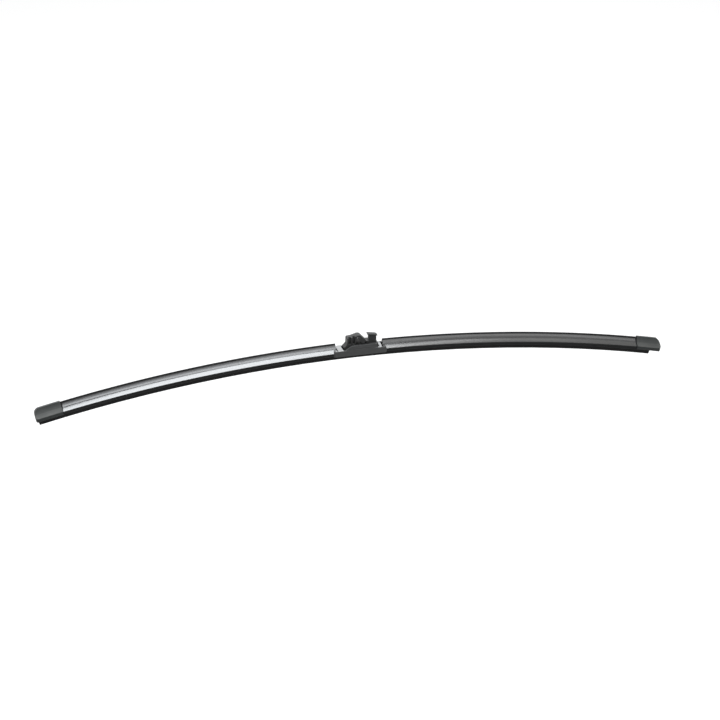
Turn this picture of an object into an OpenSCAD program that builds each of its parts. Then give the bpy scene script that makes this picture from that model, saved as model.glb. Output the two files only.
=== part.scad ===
// Flat windscreen wiper blade with a rocking arm adapter.
// Sections are drawn as [across, height]: height 0 is the wiping edge, and the front is negative.

/* [Blade] */
// Length of the blade along its arch, over both end caps
blade_len = 700; // [500:10:760]
// Radius of the wiping edge's arch while the blade is off the glass
arch_r = 1603; // [1200:1:4000]

/* [Wiping rubber] */
// Width of the wiping lip at its edge
lip_edge_w = 0.7; // [0.5:0.05:1]
// Width of the wiping lip at its root
lip_root_w = 1.1; // [1:0.05:1.6]
// Height of the wiping lip
lip_h = 3.6; // [2.5:0.1:5]
// Height of the flare from the lip to the shoulders
flare_h = 1.2; // [0.8:0.1:2]
// Width over the shoulders, which limit how far the lip folds
shoulder_w = 4.4; // [3:0.1:5]
// Height of the shoulders
shoulder_h = 0.6; // [0.4:0.1:1]
// Width of the neck that the lip folds about
neck_w = 1.1; // [0.8:0.05:1.6]
// Height of the neck
neck_h = 0.8; // [0.5:0.1:1.4]
// Width of the keel under the rails
keel_w = 5.2; // [4.6:0.1:5.8]
// Height of the keel
keel_h = 1.2; // [0.9:0.1:1.8]
// Width of the web between the rails
web_w = 1.2; // [0.8:0.1:1.8]
// Width of the head above the rails
head_w = 4.6; // [3.6:0.1:5]
// Height of the head
head_h = 0.8; // [0.5:0.05:1.2]
// How far the rubber stops short of the left cap's end
rubber_inset_left = 2.1; // [2:0.1:12]
// How far the rubber stops short of the right cap's end
rubber_inset_right = 10; // [2:0.1:12]

/* [Spring rails] */
// Width of each flat spring rail
rail_w = 3.7; // [3:0.1:4.5]
// Thickness of each rail
rail_t = 0.9; // [0.7:0.05:1.1]
// Gap between a rail and the faces above and below it
rail_gap = 0.05; // [0.03:0.01:0.1]
// Gap between a rail's edge and the piece beside it
rail_side_gap = 0.1; // [0.05:0.05:0.3]

/* [Spoiler] */
// Height of the spoiler's tip above the wiping edge
tip_h = 18.3; // [16:0.1:22]
// How far the tip lies behind the middle of the blade
tip_back = 1.6; // [0:0.1:3]
// Radius of the bead along the tip
tip_r = 0.55; // [0.45:0.05:0.8]
// How far the front edge stands out from the middle
wing_out = 6.4; // [6:0.1:7]
// Height of the front edge's upper corner
wing_z = 9.7; // [9:0.1:11]
// Thickness of the front edge
wing_t = 1.1; // [0.8:0.1:1.6]
// How far the crease of the front face lies in front of the middle
crease_out = 2.2; // [1.8:0.1:2.8]
// Height of the crease above the wiping edge
crease_z = 12.7; // [12.4:0.1:13]
// Radius of the hollow face below the crease
lower_curve_r = 40; // [20:1:80]
// Radius of the hollow face above the crease
upper_curve_r = 20; // [14:1:60]
// Radius of the fine groove along the crease
groove_r = 0.3; // [0.2:0.05:0.4]
// How far the rear foot stands out from the middle
foot_out = 5.7; // [5.5:0.1:6.5]
// Height of the rear foot's upper corner
foot_z = 9.4; // [9:0.1:11]
// Radius of the rear face
rear_curve_r = 30; // [20:1:80]
// Thickness of the claws under and beside the rails
claw_t = 1.0; // [0.8:0.1:1.4]
// Gap between the keel and the claws' lips
claw_gap = 0.35; // [0.2:0.05:0.6]
// Wall around the hollow chamber
chamber_wall = 1.3; // [1:0.1:2]
// Floor between the rubber's head and the chamber
chamber_floor = 1.4; // [1:0.1:2]
// Distance from the middle of the blade to each spoiler's inner end
spoiler_start = 25.8; // [24:0.1:27.5]

/* [End caps] */
// Length of each end cap
cap_len = 29; // [24:0.5:36]
// Wall of an end cap
cap_wall = 1.1; // [0.9:0.1:1.6]
// Gap between an end cap and the spoiler inside it
cap_gap = 0.15; // [0.05:0.05:0.3]
// Radius of the upper outer corner
cap_round = 8; // [4:0.5:9]
// Radius of the lower outer corner
cap_toe_r = 2; // [1:0.1:3]
// Radius of the two upright edges at the end
cap_edge_r = 3; // [1:0.1:4]
// Thickness of the end wall that stops the rails
cap_end_wall = 1.6; // [1.2:0.1:1.8]

/* [Bracket] */
// Thickness of the bracket's sheet steel
sheet_t = 0.9; // [0.7:0.05:1.1]
// Half length of the jaws that hold the rails
jaw_half_len = 10; // [8:0.5:12]
// Half length of the window that the adapter's boss dips into
window_half_len = 5.4; // [5:0.1:6.5]
// How far each jaw reaches in under its rail
jaw_reach = 1.2; // [0.8:0.1:1.6]
// Half length of an ear's foot
ear_foot = 6.5; // [5:0.1:8]
// Radius of an ear around the rivet
ear_r = 2.5; // [2.3:0.1:2.8]

/* [Pivot] */
// Height of the pivot above the wiping edge
pivot_z = 13.6; // [13.5:0.05:14]
// Radius of the rivet's shank
rivet_r = 1.5; // [1.2:0.05:1.7]
// Radius of the rivet's heads
rivet_head_r = 2.2; // [2:0.1:2.5]
// Height of the rivet's heads
rivet_head_h = 0.65; // [0.5:0.05:0.8]
// Gap around the rivet in the ears and in the sleeve
rivet_gap = 0.04; // [0.02:0.01:0.08]
// Radius of the spacer sleeve that the adapter turns on
sleeve_r = 2.3; // [2.1:0.05:2.6]
// Running clearance around the sleeve
pivot_gap = 0.05; // [0.02:0.01:0.1]

/* [Base cover] */
// Half length of the cover
cover_half_len = 29.2; // [28.5:0.1:31]
// Half width of the cover
cover_half_w = 8; // [7.8:0.1:8.6]
// Height of the cover's top edge above the wiping edge
cover_top = 12.4; // [12:0.1:13]
// Thickness of the floor under the bracket
cover_floor = 0.7; // [0.6:0.05:1.2]
// Gap around the bracket and around the spoilers' ends
cover_gap = 0.15; // [0.1:0.05:0.2]
// Half width over the raised cheeks
cheek_half_w = 7.4; // [7.2:0.05:7.6]
// Height of the cheeks' top
cheek_top = 16.7; // [16.6:0.05:17.2]
// Where the cheeks' top begins on the left
cheek_left = 10; // [8:0.1:12]
// Where the cheeks' top ends on the right
cheek_right = 18.9; // [16:0.1:20]
// Length of the slope from the cover's top to the left end of the cheeks
cheek_slope = 6.5; // [3:0.1:7]
// Radius of the cheeks' upper corners
cheek_r = 1.2; // [0.6:0.1:1.6]
// Radius of the cover's upper corners, seen from the side
cover_end_r = 2.4; // [1:0.1:3]
// Radius of the cover's upright corners
cover_corner_r = 2.2; // [1:0.1:2.6]
// Left end of the opening for the adapter
opening_left = 18.8; // [18.4:0.1:20]
// Right end of the opening for the adapter
opening_right = 21.6; // [21.4:0.1:22.5]
// Width of the slot between the cover and each spoiler's inner end
end_slot_w = 1.3; // [0.6:0.1:1.6]
// Height of the floor of that slot
end_slot_z = 10.2; // [9.8:0.1:11]
// Thickness of the cover's front and rear walls beside that slot
end_slot_wall = 1.1; // [0.8:0.1:1.5]

/* [Adapter] */
// Width of the adapter
adapter_w = 8.8; // [8:0.1:9]
// Side gap between the adapter and the bracket's ears
adapter_side_gap = 0.2; // [0.1:0.05:0.3]
// Radius of the boss around the pivot
pivot_boss_r = 4; // [3.6:0.1:4.2]
// Radius of the arm pin's bore
arm_bore_r = 2.45; // [2.4:0.01:3.2]
// Distance of the arm pin's bore to the left of the pivot
arm_bore_left = 1.3; // [1:0.1:1.8]
// Height of the arm pin's bore above the wiping edge
arm_bore_z = 22.4; // [22.2:0.1:23]
// Wall of the crown around the arm pin's bore
crown_wall = 2.25; // [1.6:0.05:2.6]
// Left end of the adapter
nose_left = 17.6; // [17:0.1:18]
// How far the nose's upright end is set back from its foot
nose_set_back = 3.6; // [3:0.1:4]
// Height where the nose's foot begins to slope in
nose_foot_z = 14.4; // [14:0.1:14.8]
// Height where that slope meets the nose's upright end
nose_flare_z = 17.9; // [17.4:0.1:18.4]
// Height of the nose's top
nose_z = 24.7; // [24:0.1:25]
// Right end of the adapter
tail_right = 20.2; // [19:0.1:20.4]
// Height of the side skirts' lower edge at the left end
skirt_left_z = 12.1; // [12:0.1:12.6]
// Height of the side skirts' lower edge beside the pivot
skirt_mid_z = 12; // [12:0.1:12.4]
// Height of the side skirts' lower edge at the right end
skirt_right_z = 11.6; // [11.6:0.1:12.4]
// Thickness of a side skirt
skirt_t = 1.3; // [1:0.1:1.6]
// Height of the plinth under the latch post
plinth_z = 16.4; // [15.6:0.1:17]
// Height of the notch's floor between crown and latch post
notch_z = 19.9; // [19:0.1:20.2]
// Left side of the latch post
post_left = 10.4; // [10.2:0.1:11]
// Length of the latch post
post_len = 8.3; // [7:0.1:8.4]
// Width of the latch post
post_w = 5; // [4:0.1:6]
// How far the latch head stands out past the post to the left and right
head_over_x = 1.3; // [1:0.1:1.4]
// How far the latch head stands out past the post to the front and rear
head_over_y = 0.5; // [0.3:0.1:1]
// Height of the latch head's top at its left end
latch_top = 27; // [26:0.1:28]
// How far the latch head's top falls towards its right end
latch_fall = 1.5; // [0.5:0.1:2]
// Thickness of the latch head
latch_head_t = 1.3; // [1.1:0.1:1.6]
// Depth of the pockets in the adapter's sides
pocket_depth = 3.2; // [2:0.1:3.4]
// Width of the ribs between those pockets
pocket_rib = 1.3; // [1:0.1:1.5]

/* [Hidden] */

// Facets of a full turn: of the arch, of large curves and of small round parts
arch_fn = 900;
curve_fn = 192;
round_fn = 48;
// Overlap of cutting shapes past the faces they cut
cut = 1;

// Heights of the rubber's steps
shoulder_z = lip_h + flare_h;
neck_z = shoulder_z + shoulder_h;
keel_z = neck_z + neck_h;
slot_z = keel_z + keel_h;
slot_top = slot_z + rail_t + 2 * rail_gap;
head_top = slot_top + head_h;

// Edges of the rails and of the slots that take them
rail_in = web_w / 2 + rail_side_gap;
rail_out = rail_in + rail_w;
slot_out = rail_out + rail_side_gap;
lip_in = keel_w / 2 + claw_gap;
head_room = head_w / 2 + claw_gap;
head_room_top = head_top + rail_gap * 2;

// Spoiler's foot
claw_out = slot_out + claw_t;
claw_z = slot_z - claw_t;
wing_under_z = wing_z - wing_t;
wing_root_z = wing_under_z - (wing_out - claw_out) * 0.6;
tip_center_z = tip_h - tip_r;
chamber_z = head_room_top + chamber_floor;
spoiler_end = blade_len / 2 - cap_round - cap_gap;

// Bracket, from the slot outwards
jaw_under = slot_z - sheet_t;
jaw_in = slot_out - jaw_reach;
flange_top = slot_top + sheet_t;
flange_in = head_room;
bridge_z = max(head_room_top, flange_top);
ear_in = adapter_w / 2 + adapter_side_gap;
ear_out = ear_in + sheet_t;

// Cover, from the bracket outwards
cover_floor_top = jaw_under - cover_gap;
cover_bottom = cover_floor_top - cover_floor;
cover_in = ear_out + cover_gap;
rivet_half_len = ear_out + rivet_gap;
rivet_room = rivet_half_len + rivet_head_h + cover_gap;

// The row's origin is the centre of the arm pin's bore
module at_origin() {
    translate([arm_bore_left, 0, -arm_bore_z]) children();
}

function arch_angle(s) = s / arch_r * 180 / PI;

// Sweeps a section along the arch between two distances from the middle
module along_arch(s0, s1) {
    translate([0, 0, -arch_r])
        rotate([90, 0, 0])
            rotate([0, 0, 90 - arch_angle(s1)])
                rotate_extrude(angle = arch_angle(s1 - s0), $fn = arch_fn)
                    translate([arch_r, 0])
                        rotate(-90)
                            children();
}

// Puts a shape drawn at the middle of the blade at a distance along the arch
module at_station(s) {
    translate([0, 0, -arch_r])
        rotate([0, arch_angle(s), 0])
            translate([0, 0, arch_r])
                children();
}

// Extrudes a side view, drawn as [along, height], over a width about the middle
module side_view(width) {
    rotate([90, 0, 0])
        linear_extrude(height = width, center = true)
            children();
}

// The same on both sides of the middle, between two distances from it
module both_sides(inner, outer) {
    for (side = [-1, 1])
        translate([0, side * (inner + outer) / 2, 0])
            side_view(outer - inner)
                children();
}

// A section's right half followed by its mirror image
function both_halves(half) =
    concat(half, [for (i = [len(half) - 1:-1:0]) [-half[i][0], half[i][1]]]);

// Centre of the circle of radius r through a and b, on the left of the way from a to b
function arc_center(a, b, r) =
    let (d = b - a, half = norm(d) / 2, rise = sqrt(r * r - half * half))
    (a + b) / 2 + [-d[1], d[0]] / norm(d) * rise;

// Section of the rubber
module rubber_section() {
    polygon(both_halves([
        [lip_edge_w / 2, 0],
        [lip_root_w / 2, lip_h],
        [shoulder_w / 2, shoulder_z],
        [shoulder_w / 2, neck_z],
        [neck_w / 2, neck_z],
        [neck_w / 2, keel_z],
        [keel_w / 2, keel_z],
        [keel_w / 2, slot_z],
        [web_w / 2, slot_z],
        [web_w / 2, slot_top],
        [head_w / 2, slot_top],
        [head_w / 2 - head_h / 2, head_top]
    ]));
}

// Room for the rails and the rubber in whatever grips them
module rail_room() {
    polygon(both_halves([
        [lip_in, cover_bottom - cut],
        [lip_in, slot_z],
        [slot_out, slot_z],
        [slot_out, slot_top],
        [head_room, slot_top],
        [head_room, head_room_top]
    ]));
}

// Outline of the spoiler's section, grown by g on all sides
module spoiler_outline(g = 0) {
    front_low = [-wing_out, wing_z];
    front_high = [tip_back - tip_r, tip_center_z];
    rear_high = [tip_back + tip_r, tip_center_z];
    rear_low = [foot_out, foot_z];
    crease = [-crease_out, crease_z];
    difference() {
        union() {
            polygon([
                [-claw_out - g, claw_z - g],
                [claw_out + g, claw_z - g],
                [claw_out + g, foot_z - wing_t - g],
                [foot_out + g, foot_z - wing_t - g],
                [foot_out + g, foot_z + 2],
                [tip_back + tip_r + 1.5 + g, tip_center_z],
                [tip_back - tip_r - 1.5 - g, tip_center_z],
                [-wing_out - g, wing_z + 1.5],
                [-wing_out - g, wing_under_z - g],
                [-claw_out - g, wing_root_z - g]
            ]);
            if (tip_r + g > 0)
                translate([tip_back, tip_center_z])
                    circle(r = tip_r + g, $fn = round_fn);
        }
        intersection() {
            translate(arc_center(front_low, crease, lower_curve_r))
                circle(r = lower_curve_r - g, $fn = curve_fn);
            translate(arc_center(crease, front_high, upper_curve_r))
                circle(r = upper_curve_r - g, $fn = curve_fn);
        }
        translate(arc_center(rear_high, rear_low, rear_curve_r))
            circle(r = rear_curve_r - g, $fn = curve_fn);
    }
}

// Section of the spoiler with its rail slots and its hollow chamber
module spoiler_section() {
    difference() {
        spoiler_outline();
        rail_room();
        translate([-crease_out, crease_z])
            circle(r = groove_r, $fn = round_fn);
        intersection() {
            spoiler_outline(-chamber_wall);
            translate([-wing_out, chamber_z])
                square([2 * wing_out, tip_h]);
        }
    }
}

module wiping_rubber() {
    color("#17181a")
        at_origin()
            along_arch(-blade_len / 2 + rubber_inset_left, blade_len / 2 - rubber_inset_right)
                rubber_section();
}

// A spring rail; side is -1 for the front one and 1 for the rear one
module spring_rail(side) {
    rail_end = blade_len / 2 - cap_end_wall - 2 * cap_gap;
    color("#8d9094")
        at_origin()
            along_arch(-rail_end, rail_end)
                translate([side * (rail_in + rail_out) / 2, slot_z + rail_gap + rail_t / 2])
                    square([rail_w, rail_t], center = true);
}

module spring_rail_front() {
    spring_rail(-1);
}

module spring_rail_rear() {
    spring_rail(1);
}

module spoiler_right() {
    color("#26282b")
        at_origin()
            along_arch(spoiler_start, spoiler_end)
                spoiler_section();
}

module spoiler_left() {
    color("#26282b")
        at_origin()
            along_arch(-spoiler_end, -spoiler_start)
                spoiler_section();
}

// Side view of an end cap's end: x is the distance from the end, 0 at the end itself
module cap_side_shape() {
    low = claw_z - cap_gap;
    high = tip_h + cap_gap + cap_wall;
    difference() {
        translate([-cap_len - cut, low])
            square([cap_len + cut, high + cut - low]);
        difference() {
            translate([-cap_round, high - cap_round])
                square([cap_round + cut, cap_round + 2 * cut]);
            translate([-cap_round, high - cap_round])
                circle(r = cap_round, $fn = curve_fn);
        }
        difference() {
            translate([-cap_toe_r, low - cut])
                square([cap_toe_r + cut, cap_toe_r + cut]);
            translate([-cap_toe_r, low + cap_toe_r])
                circle(r = cap_toe_r, $fn = round_fn);
        }
    }
}

// Plan of an end cap's end, with its two upright edges rounded
module cap_plan_shape() {
    front = -wing_out - cap_gap - cap_wall;
    rear = foot_out + cap_gap + cap_wall;
    translate([-cap_len - cut, front])
        square([cap_len + cut - cap_edge_r, rear - front]);
    translate([-cap_edge_r - cut, front + cap_edge_r])
        square([cap_edge_r + cut, rear - front - 2 * cap_edge_r]);
    for (y = [front + cap_edge_r, rear - cap_edge_r])
        translate([-cap_edge_r, y])
            circle(r = cap_edge_r, $fn = round_fn);
}

// The right-hand end cap: a shell that follows the spoiler, closed at its end
module end_cap() {
    cap_end = blade_len / 2;
    cap_start = cap_end - cap_len;
    difference() {
        intersection() {
            along_arch(cap_start, cap_end + cut)
                spoiler_outline(cap_gap + cap_wall);
            at_station(cap_end)
                side_view(4 * wing_out)
                    cap_side_shape();
            at_station(cap_end)
                linear_extrude(height = 2 * tip_h)
                    cap_plan_shape();
        }
        along_arch(cap_start - cut, spoiler_end + cap_gap)
            spoiler_outline(cap_gap);
        along_arch(cap_start - cut, cap_end - cap_end_wall)
            rail_room();
        along_arch(cap_end - cap_end_wall - cut, cap_end + cut)
            translate([-lip_in, 0])
                square([2 * lip_in, keel_z + keel_h]);
    }
}

module end_cap_right() {
    color("#3a3d40")
        at_origin()
            end_cap();
}

module end_cap_left() {
    color("#3a3d40")
        at_origin()
            mirror([1, 0, 0])
                end_cap();
}

// Half section of the bracket's jaw around one rail
module jaw_section() {
    jaw_web_out = slot_out + sheet_t;
    for (side = [0, 1])
        mirror([side, 0]) {
            translate([slot_out, jaw_under])
                square([ear_out - slot_out, flange_top - jaw_under]);
            translate([jaw_in, jaw_under])
                square([jaw_web_out - jaw_in, sheet_t]);
            translate([flange_in, slot_top])
                square([jaw_web_out - flange_in, sheet_t]);
        }
}

// Section of the bridges that join the two jaws over the rubber's head
module bridge_section() {
    leg_out = flange_in + sheet_t;
    translate([-leg_out, bridge_z])
        square([2 * leg_out, sheet_t]);
    for (side = [0, 1])
        mirror([side, 0])
            translate([flange_in, slot_top])
                square([sheet_t, bridge_z + sheet_t - slot_top]);
}

// Side view of an ear, from the jaw up to its round top
module ear_shape() {
    difference() {
        union() {
            polygon([
                [-ear_foot, flange_top - sheet_t],
                [ear_foot, flange_top - sheet_t],
                [ear_r * 0.9, pivot_z + ear_r * 0.4],
                [-ear_r * 0.9, pivot_z + ear_r * 0.4]
            ]);
            translate([0, pivot_z])
                circle(r = ear_r, $fn = round_fn);
        }
        translate([0, pivot_z])
            circle(r = rivet_r + rivet_gap, $fn = round_fn);
    }
}

module base_bracket() {
    color("#6d7176")
        at_origin() {
            difference() {
                along_arch(-jaw_half_len, jaw_half_len) {
                    jaw_section();
                    bridge_section();
                }
                along_arch(-window_half_len, window_half_len)
                    translate([-ear_in, flange_top])
                        square([2 * ear_in, bridge_z + sheet_t]);
            }
            both_sides(ear_in, ear_out)
                ear_shape();
        }
}

module pivot_sleeve() {
    sleeve_len = 2 * ear_in - 2 * rivet_gap;
    color("#a4a8ac")
        at_origin()
            translate([0, 0, pivot_z])
                rotate([90, 0, 0])
                    difference() {
                        cylinder(r = sleeve_r, h = sleeve_len, center = true, $fn = round_fn);
                        cylinder(r = rivet_r + rivet_gap, h = sleeve_len + cut, center = true, $fn = round_fn);
                    }
}

// Outline of the rivet, turned about its axis: shank and two domed heads
module rivet_outline() {
    dome_r = (rivet_head_r * rivet_head_r + rivet_head_h * rivet_head_h) / (2 * rivet_head_h);
    translate([0, -rivet_half_len - rivet_head_h / 2])
        square([rivet_r, 2 * rivet_half_len + rivet_head_h]);
    for (side = [0, 1])
        mirror([0, side])
            intersection() {
                translate([0, rivet_half_len])
                    square([rivet_head_r, rivet_head_h]);
                translate([0, rivet_half_len + rivet_head_h - dome_r])
                    circle(r = dome_r, $fn = curve_fn);
            }
}

module pivot_rivet() {
    color("#b3b6ba")
        at_origin()
            translate([0, 0, pivot_z])
                rotate([90, 0, 0])
                    rotate_extrude($fn = round_fn)
                        rivet_outline();
}

// Side view of the cover's body with round upper corners
module cover_side() {
    body_h = cover_top - cover_bottom;
    translate([-cover_half_len, cover_bottom])
        square([2 * cover_half_len, body_h - cover_end_r]);
    translate([-cover_half_len + cover_end_r, cover_bottom])
        square([2 * (cover_half_len - cover_end_r), body_h]);
    for (side = [-1, 1])
        translate([side * (cover_half_len - cover_end_r), cover_top - cover_end_r])
            circle(r = cover_end_r, $fn = round_fn);
}

// Plan of the cover's body with round corners
module cover_plan() {
    long = cover_half_len - cover_corner_r;
    wide = cover_half_w - cover_corner_r;
    square([2 * long, 2 * cover_half_w], center = true);
    square([2 * cover_half_len, 2 * wide], center = true);
    for (x = [-long, long], y = [-wide, wide])
        translate([x, y])
            circle(r = cover_corner_r, $fn = round_fn);
}

// Side view of the raised cheeks: a slope on the left, round upper corners
module cheek_side() {
    polygon([
        [-cheek_left - cheek_slope, cover_top - cut],
        [-cheek_left - cheek_slope, cover_top],
        [-cheek_left, cheek_top - cheek_r * 0.3],
        [-cheek_left + cheek_r, cheek_top],
        [cheek_right - cheek_r, cheek_top],
        [cheek_right, cheek_top - cheek_r],
        [cheek_right, cover_top - cut]
    ]);
    translate([cheek_right - cheek_r, cheek_top - cheek_r])
        circle(r = cheek_r, $fn = round_fn);
}

module base_cover() {
    color("#303234")
        at_origin()
            difference() {
                union() {
                    intersection() {
                        side_view(4 * cover_half_w)
                            cover_side();
                        linear_extrude(height = 2 * cover_top)
                            cover_plan();
                    }
                    side_view(2 * cheek_half_w)
                        cheek_side();
                }
                along_arch(-opening_left, opening_right)
                    translate([-cover_in, cover_floor_top])
                        square([2 * cover_in, 2 * cover_top]);
                along_arch(-cover_half_len - cut, cover_half_len + cut)
                    rail_room();
                translate([0, 0, pivot_z])
                    rotate([90, 0, 0])
                        cylinder(r = rivet_head_r + cover_gap, h = 2 * rivet_room, center = true, $fn = round_fn);
                for (side = [0, 1])
                    mirror([side, 0, 0]) {
                        along_arch(spoiler_start - cover_gap, cover_half_len + 2 * cut)
                            spoiler_outline(cover_gap);
                        along_arch(spoiler_start - end_slot_w, spoiler_start)
                            translate([end_slot_wall - cover_half_w, end_slot_z])
                                square([2 * (cover_half_w - end_slot_wall), cover_top]);
                    }
            }
}

// Side view of the adapter's body: nose, crown, notch and plinth
module adapter_outline() {
    crown = [-arm_bore_left, arm_bore_z];
    crown_r = arm_bore_r + crown_wall;
    polygon([
        [-nose_left, skirt_left_z],
        [-nose_left, nose_foot_z],
        [-nose_left + nose_set_back * 0.55, (nose_foot_z + nose_flare_z) / 2 - 0.25],
        [-nose_left + nose_set_back - 0.2, nose_flare_z],
        [-nose_left + nose_set_back, nose_z - 1.2],
        [-nose_left + nose_set_back + 0.5, nose_z],
        [crown[0] - crown_r * 1.6, nose_z + 0.4],
        [crown[0] - crown_r * 0.42, crown[1] + crown_r * 0.9],
        [crown[0] + crown_r * 0.75, crown[1] + crown_r * 0.65],
        [post_left - 3, notch_z],
        [post_left, notch_z],
        [post_left, plinth_z],
        [tail_right, plinth_z],
        [tail_right, skirt_right_z],
        [pivot_boss_r + 1.4, skirt_mid_z],
        [-pivot_boss_r - 1.4, skirt_mid_z]
    ]);
    translate(crown)
        circle(r = crown_r, $fn = round_fn);
    translate([0, pivot_z])
        circle(r = pivot_boss_r, $fn = round_fn);
}

// Room between the side skirts, clear of the boss around the pivot
module skirt_room() {
    core_z = skirt_mid_z + skirt_t / 2;
    inner_w = adapter_w - 2 * skirt_t;
    for (span = [[-nose_left - cut, -pivot_boss_r], [pivot_boss_r, tail_right + cut]])
        translate([span[0], -inner_w / 2, 0])
            cube([span[1] - span[0], inner_w, core_z]);
}

// Side view of the pockets that leave ribs; the two in the nose reach up to nose_top
module pocket_shapes(nose_top) {
    low = pivot_z + sleeve_r + pocket_rib;
    nose_in = -nose_left + nose_set_back + pocket_rib;
    difference() {
        union() {
            translate([nose_in, low])
                square([3.2, nose_top - low]);
            translate([nose_in + 3.2 + pocket_rib, low])
                square([2.7, nose_top - low]);
            for (x = [-4.2, -0.7])
                translate([x, low - 0.4])
                    square([2.3, arm_bore_z - low]);
            translate([5.6, low])
                square([2.5, notch_z - pocket_rib * 0.7 - low]);
        }
        translate([-arm_bore_left, arm_bore_z])
            circle(r = arm_bore_r + pocket_rib, $fn = round_fn);
        translate([0, pivot_z])
            circle(r = sleeve_r + pocket_rib, $fn = round_fn);
    }
}

// Side view of the latch head: its top falls to the right and ends in a lead-in
module latch_head_side() {
    left = post_left - head_over_x;
    right = post_left + post_len + head_over_x;
    polygon([
        [left, latch_top - latch_head_t],
        [left, latch_top],
        [right - 1.4, latch_top - latch_fall],
        [right, latch_top - latch_fall - 0.8],
        [right, latch_top - latch_fall - latch_head_t],
        [right - 1.4, latch_top - latch_fall - latch_head_t]
    ]);
}

// The post and the T-shaped head that snap into the arm
module latch_post() {
    post_high = latch_top - latch_fall - latch_head_t / 2;
    translate([post_left, -post_w / 2, plinth_z - cut])
        cube([post_len, post_w, post_high - plinth_z + cut]);
    side_view(post_w + 2 * head_over_y)
        latch_head_side();
}

module arm_adapter() {
    color("#2b2d2f")
        at_origin()
            difference() {
                union() {
                    side_view(adapter_w)
                        adapter_outline();
                    latch_post();
                }
                skirt_room();
                for (side = [[-1, latch_top], [1, nose_z - pocket_rib]])
                    translate([0, side[0] * (adapter_w / 2 - pocket_depth / 2 + cut / 2), 0])
                        side_view(pocket_depth + cut)
                            pocket_shapes(side[1]);
                translate([0, 0, pivot_z])
                    rotate([90, 0, 0])
                        cylinder(r = sleeve_r + pivot_gap, h = 2 * adapter_w, center = true, $fn = round_fn);
                translate([-arm_bore_left, 0, arm_bore_z])
                    rotate([90, 0, 0])
                        cylinder(r = arm_bore_r, h = 2 * adapter_w, center = true, $fn = round_fn);
            }
}

wiping_rubber();
spring_rail_front();
spring_rail_rear();
spoiler_left();
spoiler_right();
end_cap_left();
end_cap_right();
base_bracket();
base_cover();
pivot_rivet();
pivot_sleeve();
arm_adapter();
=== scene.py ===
"""Dresses a flat windscreen wiper blade: finishes, swept profiles, floor, light and camera.

The arch, the profiles and the bounds of a mask are in millimetres, as sections are drawn. Meshes,
finishes and the studio are in metres.
"""
from __future__ import annotations

import logging
import math
from dataclasses import dataclass, field
from enum import Enum

import bpy
import numpy as np
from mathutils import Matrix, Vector
from mathutils.geometry import tessellate_polygon


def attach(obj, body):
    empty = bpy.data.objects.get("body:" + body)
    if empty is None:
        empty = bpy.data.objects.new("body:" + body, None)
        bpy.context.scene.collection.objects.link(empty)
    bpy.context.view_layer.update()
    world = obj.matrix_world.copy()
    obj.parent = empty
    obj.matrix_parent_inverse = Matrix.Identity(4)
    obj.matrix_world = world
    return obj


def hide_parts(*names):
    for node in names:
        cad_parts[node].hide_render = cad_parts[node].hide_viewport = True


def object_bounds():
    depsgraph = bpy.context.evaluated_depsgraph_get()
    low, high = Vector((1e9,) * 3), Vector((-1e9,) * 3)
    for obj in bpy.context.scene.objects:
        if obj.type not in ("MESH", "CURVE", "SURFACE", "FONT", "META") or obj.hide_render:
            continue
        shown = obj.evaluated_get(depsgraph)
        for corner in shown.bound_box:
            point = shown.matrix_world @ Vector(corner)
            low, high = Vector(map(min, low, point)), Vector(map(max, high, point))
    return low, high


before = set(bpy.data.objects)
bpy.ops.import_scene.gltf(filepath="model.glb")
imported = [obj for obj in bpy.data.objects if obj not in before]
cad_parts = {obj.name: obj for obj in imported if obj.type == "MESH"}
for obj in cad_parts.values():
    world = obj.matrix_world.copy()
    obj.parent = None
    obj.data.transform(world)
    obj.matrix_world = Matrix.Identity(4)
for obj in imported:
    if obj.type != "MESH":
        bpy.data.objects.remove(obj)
CAD_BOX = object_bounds()

LOG = logging.getLogger("wiper_blade")
MM = 0.001

Pair = tuple[float, float]
Triple = tuple[float, float, float]
Socket = bpy.types.NodeSocket
Tree = bpy.types.NodeTree


@dataclass(frozen=True)
class Arch:
    """The arch that the whole blade is swept along, in the frame of the arm pin's bore.

    Args:
        radius: radius of the wiping edge.
        pivot_x: distance of the blade's middle from the frame's origin, along the blade.
        edge_z: height of the wiping edge at the blade's middle.
    """

    radius: float = 1603.0
    pivot_x: float = 1.3
    edge_z: float = -22.4

    def sweep(self, section: np.ndarray, stations: np.ndarray) -> np.ndarray:
        """Carries a section along the arch.

        A point [across, height] at distance s lies at angle s / radius round the arch's centre, at
        the radius of the wiping edge plus its height.

        Args:
            section: points [across, height], shape (n, 2).
            stations: distances from the blade's middle along the wiping edge, shape (m,).

        Returns:
            Points in metres, shape (m, n, 3).
        """
        angle = stations[:, None] / self.radius
        reach = self.radius + section[None, :, 1]
        x = self.pivot_x + reach * np.sin(angle)
        z = self.edge_z - self.radius + reach * np.cos(angle)
        y = np.broadcast_to(section[None, :, 0], x.shape)
        return np.stack([x, y, z], axis=-1) * MM


# The share of a side that one rounded corner may take up, and the least tangent of half a corner,
# so that a corner folded flat doesn't divide by nothing.
LONGEST_TANGENT = 0.45
LEAST_SLOPE = 1e-6


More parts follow.
